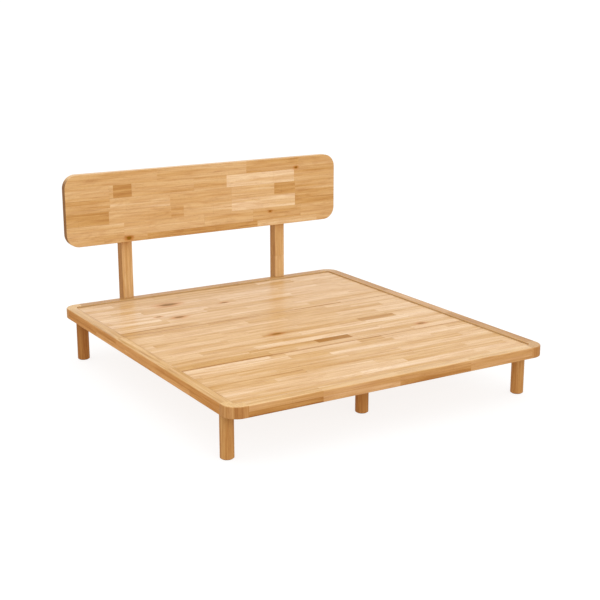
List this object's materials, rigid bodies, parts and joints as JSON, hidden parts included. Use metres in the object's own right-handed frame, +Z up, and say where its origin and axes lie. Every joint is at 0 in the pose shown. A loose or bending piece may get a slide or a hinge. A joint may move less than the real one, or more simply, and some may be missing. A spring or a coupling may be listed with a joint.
{
  "type": "bed frame",
  "caption": "Low oak platform bed frame with a rounded rim on round legs, lift-out deck boards and a rounded headboard panel carried on square posts.",
  "frame": {"origin": "on the floor under the middle of the whole bed, posts included", "axes": "+Z up, +Y from the foot of the bed towards the headboard, +X to the right of someone who stands at the foot and looks at the headboard"},
  "size_m": [1.92, 2.165, 1.09],
  "materials": {
    "rim_oak": "oiled, satin",
    "corner_oak": "oiled, satin",
    "deck_oak": "oiled, satin",
    "headboard_oak": "oiled, satin",
    "post_oak": "oiled, satin",
    "leg_oak": "oiled, satin",
    "underframe_wood": "planed, unfinished",
    "dowel_wood": "raw beech",
    "steel": "zinc plated",
    "screw_steel": "zinc plated",
    "insert_steel": "zinc plated",
    "felt": "needled felt"
  },
  "bodies": {
    "frame": {"side_rail_left": "rim_oak", "side_rail_right": "rim_oak", "foot_rail": "rim_oak", "head_rail": "rim_oak", "corner_block_foot_left": "corner_oak", "corner_block_foot_right": "corner_oak", "corner_block_head_left": "corner_oak", "corner_block_head_right": "corner_oak", "corner_plate_foot_left": "steel", "corner_plate_foot_right": "steel", "corner_plate_head_left": "steel", "corner_plate_head_right": "steel", "bearer_angle_foot_left": "steel", "bearer_angle_foot_right": "steel", "bearer_angle_head_left": "steel", "bearer_angle_head_right": "steel", "bearer_foot": "underframe_wood", "bearer_head": "underframe_wood", "centre_beam": "underframe_wood", "side_ledger_left": "underframe_wood", "side_ledger_right": "underframe_wood", "foot_ledger": "underframe_wood", "head_ledger": "underframe_wood", "leg_foot_left": "leg_oak", "leg_foot_right": "leg_oak", "leg_head_left": "leg_oak", "leg_head_right": "leg_oak", "centre_leg_foot": "leg_oak", "centre_leg_head": "leg_oak", "headboard_post_left": "post_oak", "headboard_post_right": "post_oak", "headboard": "headboard_oak", "corner_dowels": "dowel_wood", "corner_plate_screws": "screw_steel", "lap_screws": "screw_steel", "angle_screws": "screw_steel", "ledger_screws": "screw_steel", "leg_studs": "screw_steel", "post_bolts": "screw_steel", "headboard_bolts": "screw_steel", "leg_inserts": "insert_steel", "post_inserts": "insert_steel", "headboard_inserts": "insert_steel", "leg_pads": "felt"},
    "deck_board_foot": {"deck_board_foot": "deck_oak"},
    "deck_board_middle": {"deck_board_middle": "deck_oak"},
    "deck_board_head": {"deck_board_head": "deck_oak"}
  },
  "joints": [
    {"name": "foot_board_lift", "type": "slide", "parent": "frame", "child": "deck_board_foot", "axis": [0, 0, 1], "range_m": [0, 0.25]},
    {"name": "middle_board_lift", "type": "slide", "parent": "frame", "child": "deck_board_middle", "axis": [0, 0, 1], "range_m": [0, 0.25]},
    {"name": "head_board_lift", "type": "slide", "parent": "frame", "child": "deck_board_head", "axis": [0, 0, 1], "range_m": [0, 0.25]}
  ]
}
